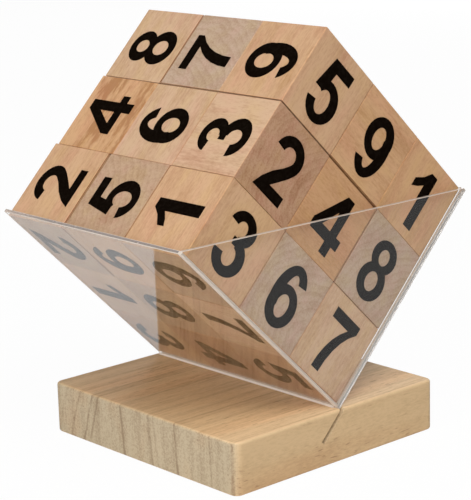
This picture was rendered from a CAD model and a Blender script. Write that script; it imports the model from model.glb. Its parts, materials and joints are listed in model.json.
"""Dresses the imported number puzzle: printed wooden cubes, a clear tray and a wooden base block."""
import json
from math import cos, radians, sin
from random import Random

import bmesh
import bpy
from mathutils import Matrix, Vector


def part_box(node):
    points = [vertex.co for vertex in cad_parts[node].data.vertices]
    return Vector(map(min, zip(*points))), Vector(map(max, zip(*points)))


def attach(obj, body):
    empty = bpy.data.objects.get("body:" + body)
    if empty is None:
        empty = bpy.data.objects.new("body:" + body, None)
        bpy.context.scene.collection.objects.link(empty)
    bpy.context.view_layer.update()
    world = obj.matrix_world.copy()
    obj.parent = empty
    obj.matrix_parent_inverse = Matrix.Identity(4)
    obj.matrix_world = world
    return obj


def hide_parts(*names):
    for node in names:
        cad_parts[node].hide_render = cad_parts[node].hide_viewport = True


bl_info = {
    "name": "Number Cube Puzzle",
    "version": (1, 0, 0),
    "blender": (4, 5, 0),
    "location": "View3D > Sidebar > Puzzle",
    "description": "Makes the wood, acrylic and ink of a number puzzle that stands in a clear tray",
    "category": "Object",
}

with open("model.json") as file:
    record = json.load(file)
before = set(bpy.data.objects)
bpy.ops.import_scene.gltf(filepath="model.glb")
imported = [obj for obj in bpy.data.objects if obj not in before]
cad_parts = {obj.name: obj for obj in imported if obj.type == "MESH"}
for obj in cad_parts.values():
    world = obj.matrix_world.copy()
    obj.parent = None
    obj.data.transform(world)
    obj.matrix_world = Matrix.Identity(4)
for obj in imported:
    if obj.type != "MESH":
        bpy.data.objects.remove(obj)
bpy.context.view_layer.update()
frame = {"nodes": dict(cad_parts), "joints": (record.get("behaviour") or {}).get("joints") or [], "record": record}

MM = 0.001
WHITE = (1, 1, 1, 1)
NODES = frame["nodes"]
BODY_OF = {node: body for body, nodes in frame["record"]["behaviour"]["bodies"].items() for node in nodes}
AXIS_OF = {joint["name"]: Vector(joint["axis"]).normalized() for joint in frame["joints"]}
ALONG_RIGHT = AXIS_OF["tray_lift"]
ALONG_LEFT = AXIS_OF["front_a1_slide"]
TO_BACK = Vector((0, 1, 0))
FROM_TRAY = Matrix((ALONG_RIGHT, TO_BACK, ALONG_LEFT)).transposed()
INTO_TRAY = FROM_TRAY.inverted()

# The tray's own axes: along the right panel, to the back and along the left panel
AXES = {"right": 0, "back": 1, "left": 2}
# Names of the cubes' places along those axes
PLACES = (("a", "b", "c"), ("front", "middle", "back"), ("1", "2", "3"))

# Fibres, shade and streakiness of the cubes whose sides show best; the others' are drawn by chance
CUBE_BLANKS = {
    "front_a3": ("right", "tan", 0.2),
    "front_b3": ("back", "pale", 0.5),
    "front_c3": ("right", "tan", 0.2),
    "middle_a3": ("left", "tan", 0.3),
    "middle_b3": ("right", "pale", 0.3),
    "middle_c3": ("left", "pale", 0.0),
    "back_a3": ("right", "tan", 0.1),
    "back_b3": ("right", "honey", 1.6),
    "back_c3": ("right", "pale", 0.2),
    "front_c2": ("left", "honey", 0.3),
    "front_c1": ("right", "honey", 0.3),
    "front_b2": ("left", "orange", 0.3),
    "front_b1": ("back", "pale", 0.1),
    "front_a2": ("back", "pale", 0.4),
    "front_a1": ("right", "pale", 0.2),
    "middle_a1": ("right", "tan", 0.3),
}
# Cubes whose end grain is browner than the others'
BROWN_ENDS = ("front_b3", "front_a1", "middle_a1")
# What the chance draws choose from: shades, streakiness, and how light a cube is within its shade
SHADES = ("tan", "honey", "pale", "orange")
STREAKINESS = (0, 0.8)
LIGHTNESS = (0.97, 1.03)
# Ranges of a cube's place in its log, in millimetres: along the log, out from its heart and across it
LOG_RANGES = ((0, 400), (12, 60), (-50, 50))

# Width of the seams that stand open, in millimetres, by the cubes on both sides; the other seams are close
OPEN_SEAMS = {
    ("front_a1", "front_b1"): 0.2,
    ("front_a3", "front_b3"): 0.12,
    ("front_b2", "front_c2"): 0.8,
    ("front_b3", "front_c3"): 0.35,
    ("middle_b3", "middle_c3"): 0.4,
    ("back_b3", "back_c3"): 0.15,
    ("front_a3", "middle_a3"): 0.3,
    ("middle_a3", "back_a3"): 1.0,
    ("front_b3", "middle_b3"): 0.12,
    ("middle_c3", "back_c3"): 0.6,
    ("front_a1", "front_a2"): 0.15,
    ("front_a2", "front_a3"): 0.25,
    ("front_b1", "front_b2"): 0.45,
    ("front_b2", "front_b3"): 0.12,
    ("front_c2", "front_c3"): 0.12,
}
# Width from which the edges beside an open seam are fully dark, in millimetres
DARK_SEAM = 0.5

# The axis that the base block's fibres run along
BASE_FIBRES = 0
# Dark ring lines of the base block: millimetres from its front side, and how dark
RING_LINES = (
    (1.8, 0.8), (12, 0.5), (29, 0.9), (39.5, 0.4), (42, 0.6),
    (57, 0.9), (72.5, 0.7), (76, 0.9), (83, 0.5), (90, 0.3),
)
# Millimetres from the middle of a ring line to its faint border and to its dark core
RING_BORDER, RING_CORE = 0.8, 0.1
# Where the base block's grain changes, in millimetres from its front side
LINES_START = (0.0, 0.8)
WANDER_START = (0.5, 6.0)
SAPWOOD_END = (6.0, 18.0)
MIDDLE_RINGS = (2.0, 25.0)
REAR_RINGS = (59.0, 73.0)
# How far the saw runs past the base block's front and back, and past the tray's corner
PAST_ENDS = 5 * MM
PAST_CORNER = 8 * MM

# The axis across each sheet of the tray
THIN_AXES = {"left": AXES["right"], "right": AXES["left"], "front": AXES["back"]}
# Least and greatest roughness of worked acrylic, and how clear it is
CLEAR_SHEET = (0.0, 0.03, 1.0)
POLISHED = (0.2, 0.35, 0.5)
SAWN = (0.3, 0.5, 0.2)
COVERED = (0.3, 0.5, 0.3)
# What tells the front sheet's lower edge and its sloping edge by their normals
LOWER_EDGE = -0.2
SLOPING_EDGE = 0.5
# The middle of the cement bead's hollow face, in shares of its width and its height
BEAD_HOLLOW = (0.2, 0.5)
# Eased edge of the corner bead, in shares of its height
CORNER_EASE = 0.25

# Least part of a normal along an axis: on a flat side, and on an eased edge beside a side
FLAT = 0.9999
BESIDE = 0.3
# Part of a normal along the fibres at which end grain starts, and how much more makes it full
END_START, END_RISE = 0.6, 0.15
# Least angle between two faces whose edge shows as a line
SHARP = radians(40)
# Shares of fibres and rings in the relief of sanded wood, and its depth
FIBRE_RELIEF, RING_RELIEF = 0.7, 0.3
RELIEF_DEPTH = 0.1 * MM

# Setting of the power, size and place of each lamp, in metres, and the point that all of them light
LAMPS = {
    "key_lamp": ("key", 0.8, (-0.15, -0.75, 1.15)),
    "fill_lamp": ("fill", 1.0, (-1.3, -0.4, 0.4)),
    "rear_lamp": ("rear", 0.6, (1.2, 0.9, 0.1)),
}
LAMP_AIM = Vector((0, 0, 0.08))
# How far the floor reaches, and where its mirror image changes from left to right, in metres
FLOOR_REACH = 3
MIRROR_CHANGE = (-0.05, 0.1)


class CubeSettings(bpy.types.PropertyGroup):
    """Sizes and colours of the wooden cubes."""

    ease: bpy.props.FloatProperty(
        name="Eased edge", description="Radius of a cube's edges", default=0.25 * MM, unit="LENGTH")
    seam: bpy.props.FloatProperty(
        name="Close seam", description="Room between two cubes that lie close together",
        default=0.05 * MM, unit="LENGTH")
    ring_gap: bpy.props.FloatProperty(
        name="Ring spacing", description="Distance from one growth ring to the next, in millimetres",
        default=2.6)
    seed: bpy.props.IntProperty(
        name="Seed", description="Start of the chance draws for each cube's place in its log", default=6)
    pale: bpy.props.FloatVectorProperty(
        name="Pale wood", description="Colour of the palest cubes",
        default=(0.545, 0.36, 0.225), subtype="COLOR")
    tan: bpy.props.FloatVectorProperty(
        name="Tan wood", description="Colour of most cubes", default=(0.525, 0.325, 0.185), subtype="COLOR")
    orange: bpy.props.FloatVectorProperty(
        name="Orange wood", description="Colour of the warmest cubes",
        default=(0.505, 0.285, 0.14), subtype="COLOR")
    honey: bpy.props.FloatVectorProperty(
        name="Honey wood", description="Colour of the cubes between tan and orange",
        default=(0.525, 0.31, 0.16), subtype="COLOR")
    grey_end: bpy.props.FloatVectorProperty(
        name="Grey end grain", description="How most cubes' colour changes across the fibres",
        default=(0.832, 0.905, 1.03), subtype="COLOR")
    brown_end: bpy.props.FloatVectorProperty(
        name="Brown end grain", description="How a brown cube's colour changes across the fibres",
        default=(0.79, 0.70, 0.66), subtype="COLOR")
    dark: bpy.props.FloatVectorProperty(
        name="Dark grain", description="How the colour changes in rings, fibres and streaks",
        default=(0.65, 0.52, 0.41), subtype="COLOR")
    rosy: bpy.props.FloatVectorProperty(
        name="Rosy patches", description="How the colour changes in rosy patches",
        default=(1.02, 0.965, 1.0), subtype="COLOR")
    yellow: bpy.props.FloatVectorProperty(
        name="Yellow patches", description="How the colour changes in yellow patches",
        default=(1.0, 1.01, 0.93), subtype="COLOR")
    warm: bpy.props.FloatVectorProperty(
        name="Warm edges", description="How the colour changes on the eased edges",
        default=(1.06, 1.0, 0.93), subtype="COLOR")
    soiled: bpy.props.FloatVectorProperty(
        name="Soiled edges", description="How the colour of the edges changes beside an open seam",
        default=(0.42, 0.29, 0.2), subtype="COLOR")


class BaseSettings(bpy.types.PropertyGroup):
    """Sizes and colours of the base block."""

    ease: bpy.props.FloatProperty(
        name="Eased edge", description="Radius of the block's top and bottom edges",
        default=0.9 * MM, unit="LENGTH")
    corner: bpy.props.FloatProperty(
        name="Corner radius", description="Radius of the block's upright corners",
        default=3 * MM, unit="LENGTH")
    kerf_depth: bpy.props.FloatProperty(
        name="Kerf depth", description="Depth of the saw kerf along its slant",
        default=13 * MM, unit="LENGTH")
    kerf_room: bpy.props.FloatProperty(
        name="Kerf room", description="Room on each side of the tray's tongue",
        default=0.15 * MM, unit="LENGTH")
    top: bpy.props.FloatVectorProperty(
        name="Top", description="Colour of the top and the underside",
        default=(0.73, 0.517, 0.288), subtype="COLOR")
    front: bpy.props.FloatVectorProperty(
        name="Front", description="Colour of the front and the back",
        default=(0.525, 0.365, 0.193), subtype="COLOR")
    end: bpy.props.FloatVectorProperty(
        name="End grain", description="Colour across the fibres",
        default=(0.466, 0.375, 0.249), subtype="COLOR")
    late: bpy.props.FloatVectorProperty(
        name="Late wood", description="How the colour changes in the hard lines of the rings",
        default=(0.58, 0.51, 0.46), subtype="COLOR")
    patch: bpy.props.FloatVectorProperty(
        name="Warm patches", description="How the colour changes in warm patches",
        default=(1.01, 0.96, 0.93), subtype="COLOR")
    sapwood: bpy.props.FloatVectorProperty(
        name="Sapwood", description="How the colour changes in the light wood along the front",
        default=(1.13, 1.14, 1.18), subtype="COLOR")
    middle_lean: bpy.props.FloatProperty(
        name="Middle ring lean",
        description="How far the middle ring lines lean for each millimetre of height", default=-0.12)
    rear_lean: bpy.props.FloatProperty(
        name="Rear ring lean",
        description="How far the rear ring lines lean for each millimetre of height", default=0.35)


class TraySettings(bpy.types.PropertyGroup):
    """Sizes and colours of the acrylic tray."""

    ease: bpy.props.FloatProperty(
        name="Eased edge", description="Radius of the sheets' edges", default=0.2 * MM, unit="LENGTH")
    glue: bpy.props.FloatProperty(
        name="Glue line", description="Thickness of the glue between two sheets",
        default=0.03 * MM, unit="LENGTH")
    clear: bpy.props.FloatVectorProperty(
        name="Clear sheet", description="Tint of the acrylic", default=(0.997, 0.998, 0.997), subtype="COLOR")
    rim: bpy.props.FloatVectorProperty(
        name="Polished rim", description="Tint of the left sheet's upper edge",
        default=(0.45, 0.38, 0.34), subtype="COLOR")
    cut: bpy.props.FloatVectorProperty(
        name="Cut edge", description="Tint of the other edges", default=(0.70, 0.61, 0.53), subtype="COLOR")
    slope: bpy.props.FloatVectorProperty(
        name="Sloping edge", description="Tint of the front sheet's sloping edge",
        default=(0.55, 0.45, 0.38), subtype="COLOR")
    covered: bpy.props.FloatVectorProperty(
        name="Lower end", description="Tint of the right sheet's end and the front sheet's edge over it",
        default=(0.55, 0.52, 0.49), subtype="COLOR")
    bead: bpy.props.FloatProperty(
        name="Cement bead", description="Width of the bead along the left sheet's foot",
        default=1.0 * MM, unit="LENGTH")
    corner: bpy.props.FloatVectorProperty(
        name="Corner bead", description="Tint of the bead between the front and the right sheet",
        default=(0.44, 0.36, 0.29), subtype="COLOR")
    corner_depth: bpy.props.FloatProperty(
        name="Corner bead depth", description="Reach of the corner bead from the front sheet",
        default=0.7 * MM, unit="LENGTH")
    corner_height: bpy.props.FloatProperty(
        name="Corner bead height", description="Reach of the corner bead from the right sheet",
        default=0.33 * MM, unit="LENGTH")


class InkSettings(bpy.types.PropertyGroup):
    """Colours of the printed numerals."""

    full: bpy.props.FloatVectorProperty(
        name="Full ink", description="Colour where the ink is thick",
        default=(0.004, 0.0024, 0.0014), subtype="COLOR")
    thin: bpy.props.FloatVectorProperty(
        name="Thin ink", description="Colour where the ink is thin",
        default=(0.008, 0.0055, 0.004), subtype="COLOR")


class StageSettings(bpy.types.PropertyGroup):
    """Light, floor and camera."""

    floor: bpy.props.FloatVectorProperty(
        name="Floor", description="Colour of the floor", default=(0.92, 0.92, 0.92), subtype="COLOR")
    plain_share: bpy.props.FloatProperty(
        name="Plain white", description="Share of plain white in the floor as the camera sees it",
        default=0.97)
    mirrored_share: bpy.props.FloatProperty(
        name="Mirrored white", description="Share of plain white in the floor as gloss mirrors it",
        default=0.9)
    mirrored_left: bpy.props.FloatProperty(
        name="Mirrored floor, left", description="How bright gloss mirrors the floor on the left",
        default=0.65)
    mirrored_right: bpy.props.FloatProperty(
        name="Mirrored floor, right", description="How bright gloss mirrors the floor on the right",
        default=0.36)
    sky: bpy.props.FloatProperty(
        name="Sky level", description="Strength of the light from all around", default=0.15)
    key: bpy.props.FloatProperty(
        name="Key light", description="Power of the large soft lamp above the front",
        default=11.0, unit="POWER")
    fill: bpy.props.FloatProperty(
        name="Fill light", description="Power of the soft lamp on the left", default=16.5, unit="POWER")
    rear: bpy.props.FloatProperty(
        name="Rear light", description="Power of the soft lamp behind the right side",
        default=3.5, unit="POWER")
    eye: bpy.props.FloatVectorProperty(
        name="Camera place", description="Where the camera stands",
        default=(-0.408679, -0.455528, 0.212911), subtype="TRANSLATION")
    target: bpy.props.FloatVectorProperty(
        name="Camera target", description="The point that the camera looks at",
        default=(-0.002121, -0.000606, 0.06529), subtype="TRANSLATION")
    roll: bpy.props.FloatProperty(
        name="Camera roll", description="How far the camera is turned about its view",
        default=radians(1.562), subtype="ANGLE")
    lens: bpy.props.FloatProperty(
        name="Lens", description="Focal length for a picture 36 mm high",
        default=131.995, subtype="DISTANCE_CAMERA")


class Shading:
    """Node tree of one finish, with short calls for the nodes that the finishes use."""

    # Sockets of a Mix node that mixes colours
    MIX_FACTOR, MIX_FIRST, MIX_SECOND = 0, 6, 7
    MIX_RESULT = 2

    def __init__(self, data):
        data.use_nodes = True
        self.tree = data.node_tree
        self.tree.nodes.clear()

    def add(self, kind, inputs=(), **options):
        node = self.tree.nodes.new("ShaderNode" + kind)
        for name, value in options.items():
            setattr(node, name, value)
        for name, value in dict(inputs).items():
            if isinstance(value, bpy.types.NodeSocket):
                self.tree.links.new(value, node.inputs[name])
            else:
                node.inputs[name].default_value = value
        return node

    def attribute(self, name, output):
        return self.add("Attribute", attribute_name=name).outputs[output]

    def math(self, operation, first, second=0.0, clamp=False):
        node = self.add("Math", {0: first, 1: second}, operation=operation, use_clamp=clamp)
        return node.outputs[0]

    def times(self, first, second):
        return self.math("MULTIPLY", first, second)

    def total(self, values):
        """Sum of several levels, held between 0 and 1."""
        first, *others, last = values
        for value in others:
            first = self.math("ADD", first, value)
        return self.math("ADD", first, last, clamp=True)

    def vector(self, operation, first, second=(0, 0, 0)):
        node = self.add("VectorMath", {0: first, 1: second}, operation=operation)
        return node.outputs["Value" if operation == "LENGTH" else "Vector"]

    def noise(self, vector, scale, detail=2.0, roughness=0.5, output="Fac"):
        inputs = {"Vector": vector, "Scale": scale, "Detail": detail, "Roughness": roughness}
        return self.add("TexNoise", inputs).outputs[output]

    def marks(self, grain, along, scale, upward=1, **options):
        """Marks in wood: the smaller along or upward is, the longer they are that way."""
        return self.noise(self.vector("MULTIPLY", grain, (along, 1, upward)), scale, **options)

    def span(self, value, start, end, to=(0.0, 1.0)):
        """Smooth change between two levels while a value goes from start to end."""
        inputs = {"Value": value, "From Min": start, "From Max": end, "To Min": to[0], "To Max": to[1]}
        return self.add("MapRange", inputs, interpolation_type="SMOOTHSTEP").outputs["Result"]

    def mix(self, share, first, second, blend="MIX"):
        inputs = {self.MIX_FACTOR: share, self.MIX_FIRST: first, self.MIX_SECOND: second}
        return self.add("Mix", inputs, data_type="RGBA", blend_type=blend).outputs[self.MIX_RESULT]

    def tint(self, colour, change, share):
        """Colour multiplied by a change, as far as share says."""
        return self.mix(share, colour, opaque(change), "MULTIPLY")

    def blend(self, share, first, second):
        """Mix of two shaders."""
        return self.add("MixShader", {0: share, 1: first, 2: second}).outputs["Shader"]

    def finish(self, shader, kind="Material"):
        self.add("Output" + kind, {"Surface": shader})


def opaque(colour):
    """Colour with an alpha of one, as the sockets take it."""
    return (*colour, 1.0)


def wood_surface(shading, colour, fibre, late, bump):
    """Sanded wood: fibres and rings stand a little proud, and the proud fibres shine a little less."""
    height = shading.math("ADD", shading.times(fibre, FIBRE_RELIEF), shading.times(late, RING_RELIEF))
    relief = shading.add("Bump", {"Height": height, "Strength": bump, "Distance": RELIEF_DEPTH})
    rough = shading.span(fibre, 0.25, 0.75, to=(0.5, 0.68))
    shader = shading.add("BsdfPrincipled", {
        "Base Color": colour, "Roughness": rough, "Normal": relief.outputs["Normal"],
        "Specular IOR Level": 0.35})
    shading.finish(shader.outputs["BSDF"])


def cube_wood(settings):
    """Light hardwood in the tone of each cube: rings on the end grain and soft bands along the fibres.

    The edges are warm, and dark beside an open seam.
    """
    material = bpy.data.materials.new("light_hardwood")
    shading = Shading(material)
    grain = shading.attribute("grain", "Vector")
    end = shading.attribute("end_grain", "Fac")
    warp = shading.marks(grain, along=0.12, scale=0.05, output="Color")
    warp = shading.vector("MULTIPLY", shading.vector("SUBTRACT", warp, (0.5, 0.5, 0.5)), (0, 9, 9))
    bent = shading.vector("ADD", grain, warp)
    from_heart = shading.vector("LENGTH", shading.vector("MULTIPLY", bent, (0, 1, 1)))
    ring = shading.math("FRACT", shading.math("DIVIDE", from_heart, settings.ring_gap))
    late = shading.times(shading.math("POWER", ring, 2.0), shading.span(ring, 1.0, 0.85))
    fibre = shading.marks(grain, along=0.1, scale=1.5, detail=4.0, roughness=0.7)
    mottle = shading.marks(grain, along=0.4, scale=1.3, detail=3.0, roughness=0.75)
    band = shading.marks(grain, along=0.25, scale=0.13)
    fleck = shading.marks(grain, along=0.25, scale=1.3, detail=1.0)
    hue = shading.marks(grain, along=0.3, scale=0.16, detail=1.0)
    streak = shading.marks(bent, along=0.3, upward=0.5, scale=0.14, detail=4.0, roughness=0.65)
    streak = shading.span(streak, 0.5, 0.68, to=(0.0, 0.8))
    shade = shading.total([
        shading.times(late, shading.span(end, 0.0, 1.0, to=(0.07, 0.36))),
        shading.span(fibre, 0.34, 0.78, to=(-0.08, 0.3)),
        shading.span(mottle, 0.32, 0.72, to=(-0.16, 0.24)),
        shading.span(band, 0.34, 0.68, to=(-0.06, 0.24)),
        shading.times(streak, shading.attribute("streaks", "Fac")),
        shading.span(fleck, 0.66, 0.74, to=(0.0, 0.25)),
    ])
    colour = shading.tint(shading.attribute("tone", "Color"), settings.dark, shade)
    colour = shading.tint(colour, settings.rosy, shading.span(hue, 0.5, 0.7))
    colour = shading.tint(colour, settings.yellow, shading.span(hue, 0.5, 0.32))
    colour = shading.tint(colour, settings.warm, shading.attribute("edge", "Fac"))
    colour = shading.tint(colour, settings.soiled, shading.attribute("open_seam", "Fac"))
    wood_surface(shading, colour, fibre, late, bump=0.25)
    return material


def base_wood(settings):
    """Board with dark ring lines on its end grain, streaks along its top and a smooth front."""
    material = bpy.data.materials.new("sanded_board")
    shading = Shading(material)
    grain = shading.attribute("grain", "Vector")
    end = shading.attribute("end_grain", "Fac")
    place = shading.add("SeparateXYZ", {"Vector": grain}).outputs
    depth, height = place["Y"], place["Z"]
    wander = shading.math("SUBTRACT", shading.marks(grain, along=0.03, upward=0.1, scale=0.2), 0.5)
    wander = shading.times(wander, shading.span(depth, *WANDER_START, to=(0.0, 2.0)))
    lean = shading.span(depth, *REAR_RINGS, to=(settings.middle_lean, settings.rear_lean))
    lean = shading.times(lean, shading.span(depth, *MIDDLE_RINGS))
    from_front = shading.math("ADD", shading.math("ADD", depth, wander), shading.times(lean, height))
    lines = 0.0
    for line, darkness in RING_LINES:
        off = shading.math("ABSOLUTE", shading.math("SUBTRACT", from_front, line))
        lines = shading.math("ADD", shading.span(off, RING_BORDER, RING_CORE, to=(0.0, darkness)), lines)
    wear = shading.marks(grain, along=0.03, scale=0.3)
    lines = shading.times(lines, shading.span(wear, 0.35, 0.6, to=(0.5, 1.0)))
    lines = shading.times(lines, shading.span(depth, *LINES_START))
    fibre = shading.marks(grain, along=0.03, upward=0.1, scale=0.9, detail=4.0, roughness=0.66)
    mottle = shading.marks(grain, along=0.25, scale=1.4, detail=3.0, roughness=0.75)
    stripe = shading.marks(grain, along=0.02, upward=0.05, scale=0.22)
    patch = shading.marks(grain, along=0.1, upward=0.6, scale=0.08)
    pore = shading.marks(grain, along=0.14, scale=1.25, detail=1.0)
    pore = shading.span(pore, 0.645, 0.72, to=(0.0, 0.7))
    shade = shading.total([
        shading.times(lines, shading.span(end, 0.0, 1.0, to=(0.4, 1.0))),
        shading.span(fibre, 0.34, 0.8, to=(0.0, 0.34)),
        shading.times(
            shading.span(mottle, 0.3, 0.7, to=(-0.12, 0.22)), shading.span(end, 0.0, 1.0, to=(1.0, 2.2))),
        shading.span(stripe, 0.36, 0.68, to=(-0.12, 0.22)),
        shading.times(pore, shading.span(patch, 0.4, 0.62, to=(0.2, 1.0))),
    ])
    colour = shading.tint(shading.attribute("tone", "Color"), settings.late, shade)
    colour = shading.tint(colour, settings.patch, shading.span(patch, 0.5, 0.68))
    sapwood = shading.times(shading.span(depth, *SAPWOOD_END, to=(1.0, 0.0)), shading.span(end, 0.5, 0.0))
    colour = shading.tint(colour, settings.sapwood, sapwood)
    wood_surface(shading, colour, fibre, lines, bump=0.35)
    return material


def acrylic(name, tint, low_rough, high_rough, clear):
    """Acrylic whose shine varies a little with handling; lamps shine through it."""
    material = bpy.data.materials.new(name)
    shading = Shading(material)
    place = shading.add("TexCoord").outputs["Object"]
    smudge = shading.noise(place, scale=55.0, detail=4.0, roughness=0.6)
    shader = shading.add("BsdfPrincipled", {
        "Base Color": opaque(tint), "Roughness": shading.span(smudge, 0.4, 0.75, to=(low_rough, high_rough)),
        "IOR": 1.49, "Transmission Weight": clear})
    passing = shading.add("BsdfTransparent", {"Color": opaque(tint)})
    path = shading.add("LightPath").outputs
    light_ray = shading.math("MAXIMUM", path["Is Shadow Ray"], path["Is Diffuse Ray"])
    shading.finish(shading.blend(light_ray, shader.outputs["BSDF"], passing.outputs["BSDF"]))
    return material


def printed_ink(settings):
    """Black ink, a little thinner where the wood's pores took it in."""
    material = bpy.data.materials.new("printed_ink")
    shading = Shading(material)
    place = shading.add("TexCoord").outputs["Object"]
    thin = shading.span(shading.noise(place, scale=900.0, detail=3.0, roughness=0.6), 0.4, 0.75)
    shader = shading.add("BsdfPrincipled", {
        "Base Color": shading.mix(thin, opaque(settings.full), opaque(settings.thin)),
        "Roughness": shading.span(thin, 0.0, 1.0, to=(0.5, 0.65)), "Specular IOR Level": 0.0})
    shading.finish(shader.outputs["BSDF"])
    return material


def tray_extent(node):
    """Lowest and highest corner of a CAD node along the tray's own axes."""
    corners = [INTO_TRAY @ vertex.co for vertex in NODES[node].data.vertices]
    lowest = Vector([min(corner[axis] for corner in corners) for axis in range(3)])
    highest = Vector([max(corner[axis] for corner in corners) for axis in range(3)])
    return lowest, highest


def block_between(lowest, highest):
    """Plain block between two corners, ready to be eased."""
    shape = bmesh.new()
    bmesh.ops.create_cube(shape, size=1)
    middle = (lowest + highest) / 2
    size = highest - lowest
    for vertex in shape.verts:
        vertex.co = middle + Vector([vertex.co[axis] * size[axis] for axis in range(3)])
    return shape


def prism(outline, front, back):
    """Solid with an outline in the X-Z plane, from front to back."""
    shape = bmesh.new()
    ends = [[shape.verts.new((x, y, z)) for x, z in outline] for y in (front, back)]
    for end in ends:
        shape.faces.new(end)
    for step in range(len(outline)):
        first, second = ends[0][step - 1], ends[0][step]
        shape.faces.new((first, second, ends[1][step], ends[1][step - 1]))
    bmesh.ops.recalc_face_normals(shape, faces=shape.faces)
    return shape


def ease_edges(shape, edges, radius, segments):
    """Rounds some edges of a shape."""
    bmesh.ops.bevel(
        shape, geom=list(edges), offset=radius, offset_type="OFFSET", segments=segments, profile=0.5,
        affect="EDGES", clamp_overlap=True)


def is_flat(face):
    """True for a face square to an axis, False for one on an eased edge."""
    return max(abs(part) for part in face.normal) > FLAT


def smooth_edges(shape):
    """Shades the eased edges of a shape smooth and its sides flat."""
    shape.normal_update()
    for face in shape.faces:
        face.smooth = not is_flat(face)


def in_order(shape):
    """The same shape with its points and faces in a fixed order; a boolean cut leaves them in any order."""
    points = sorted(shape.verts, key=lambda vertex: vertex.co[:])
    rank = {vertex: number for number, vertex in enumerate(points)}
    rings = []
    for face in shape.faces:
        ring = [rank[vertex] for vertex in face.verts]
        start = ring.index(min(ring))
        rings.append(ring[start:] + ring[:start])
    ordered = bmesh.new()
    corners = [ordered.verts.new(vertex.co) for vertex in points]
    for ring in sorted(rings):
        ordered.faces.new([corners[number] for number in ring])
    shape.free()
    return ordered


def turn_from_tray(shape):
    """Turns a shape from the tray's own axes to the frame's."""
    bmesh.ops.transform(shape, matrix=FROM_TRAY.to_4x4(), verts=shape.verts)


def mark_wood(shape, fibre_axis, place_in_log, tones, streaks=0.0, open_sides=()):
    """Writes the attributes that the wood finishes read.

    Each axis has the tone of the sides along it. An open side is an axis, a direction and a darkness.
    """
    grain = shape.verts.layers.float_vector.new("grain")
    tone = shape.faces.layers.float_color.new("tone")
    end_grain = shape.faces.layers.float.new("end_grain")
    edge = shape.faces.layers.float.new("edge")
    streaky = shape.faces.layers.float.new("streaks")
    open_seam = shape.faces.layers.float.new("open_seam")
    order = [(fibre_axis + step) % 3 for step in range(3)]
    for vertex in shape.verts:
        vertex[grain] = Vector([vertex.co[axis] / MM for axis in order]) + place_in_log
    smooth_edges(shape)
    for face in shape.faces:
        along = abs(face.normal[fibre_axis])
        face[end_grain] = min(1.0, max(0.0, (along - END_START) / END_RISE))
        shares = [tones[axis] * face.normal[axis] ** 2 for axis in range(3)]
        face[tone] = opaque(shares[0] + shares[1] + shares[2])
        face[edge] = 0.0 if is_flat(face) else 1.0
        face[streaky] = streaks
        dark = [darkness for axis, way, darkness in open_sides if face.normal[axis] * way > BESIDE]
        face[open_seam] = max(dark, default=0.0) * face[edge]
    for line in shape.edges:
        line.smooth = line.calc_face_angle(0.0) < SHARP


def add_object(name, shape, materials=()):
    """Turns a finished shape into an object of the scene."""
    mesh = bpy.data.meshes.new(name)
    shape.to_mesh(mesh)
    shape.free()
    for material in materials:
        mesh.materials.append(material)
    made = bpy.data.objects.new(name, mesh)
    bpy.context.scene.collection.objects.link(made)
    return made


def carry(piece, node):
    """Lets a piece move with a CAD node's body and take its finish from a slot of the record."""
    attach(piece, BODY_OF[node])


def make_piece(name, shape, materials, node):
    """Turns a finished shape into the piece that stands for a CAD node."""
    piece = add_object(name, shape, materials)
    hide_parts(node)
    carry(piece, node)


def next_cube(place, axis):
    """Place of the cube one step further along an axis of the tray, or None at the end of a row."""
    layer, (column, level) = place.split("_")
    address = [column, layer, level]
    row = PLACES[axis]
    step = row.index(address[axis]) + 1
    if step == len(row):
        return None
    address[axis] = row[step]
    column, layer, level = address
    return f"{layer}_{column}{level}"


def close_up(extents, seam):
    """Draws the cubes out to the seams between them, and lists each cube's open sides.

    The sides that face outwards stay where the CAD has them.
    """
    closed = {place: [corner.copy() for corner in corners] for place, corners in extents.items()}
    open_sides = {place: [] for place in extents}
    for place in extents:
        for axis in range(3):
            beyond = next_cube(place, axis)
            if beyond is None:
                continue
            middle = (extents[place][1][axis] + extents[beyond][0][axis]) / 2
            width = OPEN_SEAMS.get((place, beyond), 0.0)
            half = width * MM / 2 if width else seam / 2
            closed[place][1][axis] = middle - half
            closed[beyond][0][axis] = middle + half
            darkness = min(1.0, width / DARK_SEAM)
            open_sides[place].append((axis, 1, darkness))
            open_sides[beyond].append((axis, -1, darkness))
    return closed, open_sides


class PUZZLE_OT_cubes(bpy.types.Operator):
    """Makes the wooden cubes, each cut from its own place in a log"""

    bl_idname = "puzzle.cubes"
    bl_label = "Wooden cubes"

    def execute(self, context):
        settings = context.scene.puzzle_cubes
        material = cube_wood(settings)
        chance = Random(settings.seed)
        nodes = sorted(name for name in NODES if name.startswith("cube_"))
        extents = {node.removeprefix("cube_"): tray_extent(node) for node in nodes}
        closed, open_sides = close_up(extents, settings.seam)
        for node in nodes:
            place = node.removeprefix("cube_")
            drawn = (chance.choice(tuple(AXES)), chance.choice(SHADES), chance.uniform(*STREAKINESS))
            in_log = Vector([chance.uniform(*ends) for ends in LOG_RANGES])
            fibres, shade, streaks = CUBE_BLANKS.get(place, drawn)
            tone = Vector(getattr(settings, shade)) * chance.uniform(*LIGHTNESS)
            change = settings.brown_end if place in BROWN_ENDS else settings.grey_end
            tones = [tone, tone, tone]
            tones[AXES[fibres]] = Vector([part * share for part, share in zip(tone, change)])
            middle = (extents[place][0] + extents[place][1]) / 2
            shape = block_between(closed[place][0] - middle, closed[place][1] - middle)
            ease_edges(shape, shape.edges, settings.ease, segments=3)
            mark_wood(shape, AXES[fibres], in_log, tones, streaks, open_sides[place])
            bmesh.ops.translate(shape, vec=middle, verts=shape.verts)
            turn_from_tray(shape)
            make_piece("wood_" + node, shape, [material], node)
        return {"FINISHED"}


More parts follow.
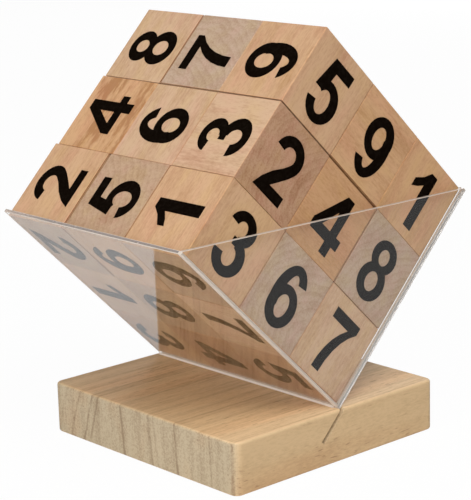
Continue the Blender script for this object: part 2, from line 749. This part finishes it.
class PUZZLE_OT_base(bpy.types.Operator):
    """Makes the base block with its slanted saw kerf"""

    bl_idname = "puzzle.base"
    bl_label = "Base block"

    def execute(self, context):
        settings = context.scene.puzzle_base
        lowest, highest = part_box("base_block")
        block = add_object("whole_block", self.eased_block(settings, lowest, highest))
        kerf = add_object("saw_kerf", self.sawn_out(settings, lowest.y, highest.y))
        shape = self.cut_kerf(context, block, kerf)
        from_front = Vector((0, -lowest.y, -(lowest.z + highest.z) / 2)) / MM
        tones = [Vector(tone) for tone in (settings.end, settings.front, settings.top)]
        mark_wood(shape, BASE_FIBRES, from_front, tones)
        make_piece("pine_base_block", shape, [base_wood(settings)], "base_block")
        return {"FINISHED"}

    @staticmethod
    def eased_block(settings, lowest, highest):
        """Whole block with round upright corners and eased top and bottom edges."""
        shape = block_between(lowest, highest)
        upright = [edge for edge in shape.edges if abs(edge.verts[0].co.z - edge.verts[1].co.z) > MM]
        ease_edges(shape, upright, settings.corner, segments=8)
        shape.normal_update()
        rims = [edge for edge in shape.edges if any(abs(face.normal.z) > FLAT for face in edge.link_faces)]
        ease_edges(shape, rims, settings.ease, segments=4)
        return shape

    @staticmethod
    def sawn_out(settings, front, back):
        """The wood that the saw takes out for the tongue of the tray's right panel."""
        panel_low, panel_high = tray_extent("tray_right_panel")
        corner = tray_extent("tray_left_panel")[0].x
        room = Vector((0, 0, settings.kerf_room))
        kerf_low = Vector((corner - settings.kerf_depth, front - PAST_ENDS, panel_low.z)) - room
        kerf_high = Vector((corner + PAST_CORNER, back + PAST_ENDS, panel_high.z)) + room
        shape = block_between(kerf_low, kerf_high)
        turn_from_tray(shape)
        return shape

    @staticmethod
    def cut_kerf(context, block, kerf):
        """Shape of the block without the kerf; both objects are removed."""
        saw = block.modifiers.new("kerf", "BOOLEAN")
        saw.operation = "DIFFERENCE"
        saw.solver = "EXACT"
        saw.object = kerf
        context.view_layer.update()
        shape = bmesh.new()
        shape.from_object(block, context.evaluated_depsgraph_get())
        for part in (block, kerf):
            bpy.data.objects.remove(part)
        return in_order(shape)


class PUZZLE_OT_tray(bpy.types.Operator):
    """Makes the three glued acrylic sheets of the tray and two beads of cement"""

    bl_idname = "puzzle.tray"
    bl_label = "Acrylic tray"

    def execute(self, context):
        settings = context.scene.puzzle_tray
        finishes = {
            "clear": acrylic("clear_acrylic", settings.clear, *CLEAR_SHEET),
            "rim": acrylic("polished_rim", settings.rim, *POLISHED),
            "cut": acrylic("cut_edge", settings.cut, *SAWN),
            "slope": acrylic("sloping_edge", settings.slope, *SAWN),
            "covered": acrylic("covered_end", settings.covered, *COVERED),
        }
        order = list(finishes)
        for side, thin_axis in THIN_AXES.items():
            node = f"tray_{side}_panel"
            shape = self.plain_sheet(settings, side, *tray_extent(node))
            ease_edges(shape, shape.edges, settings.ease, segments=2)
            smooth_edges(shape)
            for face in shape.faces:
                broad = abs(face.normal[thin_axis]) > FLAT
                face.material_index = order.index("clear" if broad else self.edge_finish(side, face.normal))
            turn_from_tray(shape)
            make_piece(f"acrylic_{side}_panel", shape, finishes.values(), node)
        self.lay_bead(settings, finishes["cut"])
        self.fill_corner(settings, acrylic("corner_cement", settings.corner, *SAWN))
        return {"FINISHED"}

    @staticmethod
    def plain_sheet(settings, side, lowest, highest):
        """Square-edged sheet; the front one is a triangle with blunt tips that covers the others' ends."""
        if side == "front":
            sheet = highest.y - lowest.y
            inner = lowest + Vector((sheet, 0, sheet))
            outline = [
                (lowest.x, lowest.z), (highest.x, lowest.z), (highest.x, inner.z), (inner.x, highest.z),
                (lowest.x, highest.z)]
            return prism(outline, lowest.y, highest.y)
        lowest.y += settings.glue
        if side == "left":
            lowest.z += settings.glue
        return block_between(lowest, highest)

    @staticmethod
    def edge_finish(side, normal):
        """Finish of a sheet's edge, by the way that it faces."""
        if side == "left" and normal.z > FLAT:
            return "rim"
        if side == "right" and normal.y < -FLAT:
            return "covered"
        if side == "front" and normal.z < LOWER_EDGE:
            return "covered"
        if side == "front" and min(normal.x, normal.z) > SLOPING_EDGE:
            return "slope"
        return "cut"

    @staticmethod
    def lay_bead(settings, finish):
        """Bead of clear cement along the foot of the left sheet, on the side that shows."""
        lowest, highest = tray_extent("tray_left_panel")
        foot = FROM_TRAY @ lowest
        up_sheet = FROM_TRAY @ Vector((0, 0, settings.bead))
        gap = settings.glue
        inward, upward = BEAD_HOLLOW
        outline = [
            (foot.x - gap, foot.z + gap), (foot.x + up_sheet.x - gap, foot.z + up_sheet.z),
            (foot.x + up_sheet.x - inward * settings.bead, foot.z + upward * up_sheet.z),
            (foot.x - settings.bead, foot.z + gap)]
        bead = add_object("cement_bead", prism(outline, lowest.y, highest.y), [finish])
        carry(bead, "tray_left_panel")

    @staticmethod
    def fill_corner(settings, finish):
        """Bead of clear cement between the front sheet and the right sheet, just clear of the cubes."""
        right_sheet = tray_extent("tray_right_panel")[1]
        inner = Vector((
            tray_extent("tray_left_panel")[1].x, tray_extent("tray_front_panel")[1].y, right_sheet.z))
        outer = Vector((right_sheet.x, inner.y + settings.corner_depth, inner.z + settings.corner_height))
        gap = settings.glue
        shape = block_between(inner + Vector((gap, gap, gap)), outer)
        ease_edges(shape, shape.edges, settings.corner_height * CORNER_EASE, segments=2)
        smooth_edges(shape)
        turn_from_tray(shape)
        bead = add_object("corner_bead", shape, [finish])
        carry(bead, "tray_right_panel")


class PUZZLE_OT_numerals(bpy.types.Operator):
    """Gives the printed numerals their ink"""

    bl_idname = "puzzle.numerals"
    bl_label = "Printed numerals"

    def execute(self, context):
        ink = printed_ink(context.scene.puzzle_ink)
        for node in sorted(name for name in NODES if name.startswith("numerals_")):
            for slot in NODES[node].material_slots:
                slot.material = ink
        return {"FINISHED"}


class PUZZLE_OT_stage(bpy.types.Operator):
    """Sets the floor, the soft lamps, the white surroundings and the camera"""

    bl_idname = "puzzle.stage"
    bl_label = "Stage"

    def execute(self, context):
        scene = context.scene
        settings = scene.puzzle_stage
        scene.view_settings.view_transform = "Standard"
        self.lay_floor(settings)
        self.surround(scene, settings)
        for name, (power, size, place) in LAMPS.items():
            self.hang_lamp(scene, name, getattr(settings, power), size, Vector(place))
        self.place_camera(scene, settings)
        return {"FINISHED"}

    @staticmethod
    def seen(shading, straight, mirrored):
        """How white the surroundings look, straight or through acrylic, and mirrored in gloss."""
        path = shading.add("LightPath").outputs
        shown = shading.math("MAXIMUM", path["Is Camera Ray"], path["Is Transmission Ray"])
        shown = shading.times(shown, straight)
        return shading.math("MAXIMUM", shown, shading.times(path["Is Glossy Ray"], mirrored))

    def lay_floor(self, settings):
        """Pale floor that looks plain white and keeps the object's shadow; gloss mirrors it dimmer."""
        material = bpy.data.materials.new("pale_floor")
        shading = Shading(material)
        matt = shading.add("BsdfDiffuse", {"Color": opaque(settings.floor)})
        place = shading.add("TexCoord").outputs["Object"]
        sideways = shading.add("SeparateXYZ", {"Vector": place}).outputs["X"]
        dim = shading.span(sideways, *MIRROR_CHANGE, to=(settings.mirrored_left, settings.mirrored_right))
        mirrored = shading.add("LightPath").outputs["Glossy Depth"]
        level = shading.span(mirrored, 0.0, 1.0, to=(1.0, dim))
        white = shading.add("Emission", {"Color": WHITE, "Strength": level})
        share = self.seen(shading, settings.plain_share, settings.mirrored_share)
        shading.finish(shading.blend(share, matt.outputs["BSDF"], white.outputs["Emission"]))
        shape = bmesh.new()
        bmesh.ops.create_grid(shape, x_segments=8, y_segments=8, size=FLOOR_REACH)
        floor = add_object("floor", shape, [material])

    def surround(self, scene, settings):
        """White surroundings for all that sees them, with a dimmer light on the object."""
        scene.world = bpy.data.worlds.new("white_surroundings")
        shading = Shading(scene.world)
        strength = shading.span(self.seen(shading, 1.0, 1.0), 0.0, 1.0, to=(settings.sky, 1.0))
        light = shading.add("Background", {"Color": WHITE, "Strength": strength})
        shading.finish(light.outputs["Background"], "World")

    @staticmethod
    def hang_lamp(scene, name, power, size, place):
        """Square soft lamp that lights the middle of the object."""
        lamp = bpy.data.lights.new(name, "AREA")
        lamp.energy = power
        lamp.size = size
        hung = bpy.data.objects.new(name, lamp)
        hung.location = place
        hung.rotation_euler = (LAMP_AIM - place).to_track_quat("-Z", "Y").to_euler()
        scene.collection.objects.link(hung)

    @staticmethod
    def place_camera(scene, settings):
        """Camera at the photograph's viewing angle."""
        eye = Vector(settings.eye)
        forward = (Vector(settings.target) - eye).normalized()
        level = forward.cross(Vector((0, 0, 1))).normalized()
        right = level * cos(settings.roll) + forward.cross(level) * sin(settings.roll)
        up = right.cross(forward)
        lens = bpy.data.cameras.new("camera")
        lens.sensor_fit = "VERTICAL"
        lens.sensor_height = 36
        lens.lens = settings.lens
        lens.clip_start = 0.01
        camera = bpy.data.objects.new("camera", lens)
        turn = Matrix((right, up, -forward)).transposed()
        camera.matrix_world = Matrix.Translation(eye) @ turn.to_4x4()
        scene.collection.objects.link(camera)
        scene.camera = camera


OPERATORS = (PUZZLE_OT_cubes, PUZZLE_OT_base, PUZZLE_OT_tray, PUZZLE_OT_numerals, PUZZLE_OT_stage)


class PUZZLE_PT_sidebar(bpy.types.Panel):
    """Lists the steps that make the puzzle"""

    bl_idname = "PUZZLE_PT_sidebar"
    bl_label = "Number Cube Puzzle"
    bl_space_type = "VIEW_3D"
    bl_region_type = "UI"
    bl_category = "Puzzle"

    def draw(self, context):
        for step in OPERATORS:
            self.layout.operator(step.bl_idname)


SETTINGS = {
    "puzzle_cubes": CubeSettings,
    "puzzle_base": BaseSettings,
    "puzzle_tray": TraySettings,
    "puzzle_ink": InkSettings,
    "puzzle_stage": StageSettings,
}
CLASSES = (*SETTINGS.values(), *OPERATORS, PUZZLE_PT_sidebar)


def register():
    for kind in CLASSES:
        bpy.utils.register_class(kind)
    for name, kind in SETTINGS.items():
        setattr(bpy.types.Scene, name, bpy.props.PointerProperty(type=kind))


def unregister():
    for name in SETTINGS:
        delattr(bpy.types.Scene, name)
    for kind in reversed(CLASSES):
        bpy.utils.unregister_class(kind)


def main():
    """Makes the whole puzzle."""
    register()
    bpy.ops.puzzle.cubes()
    bpy.ops.puzzle.base()
    bpy.ops.puzzle.tray()
    bpy.ops.puzzle.numerals()
    bpy.ops.puzzle.stage()


if __name__ == "__main__":
    main()
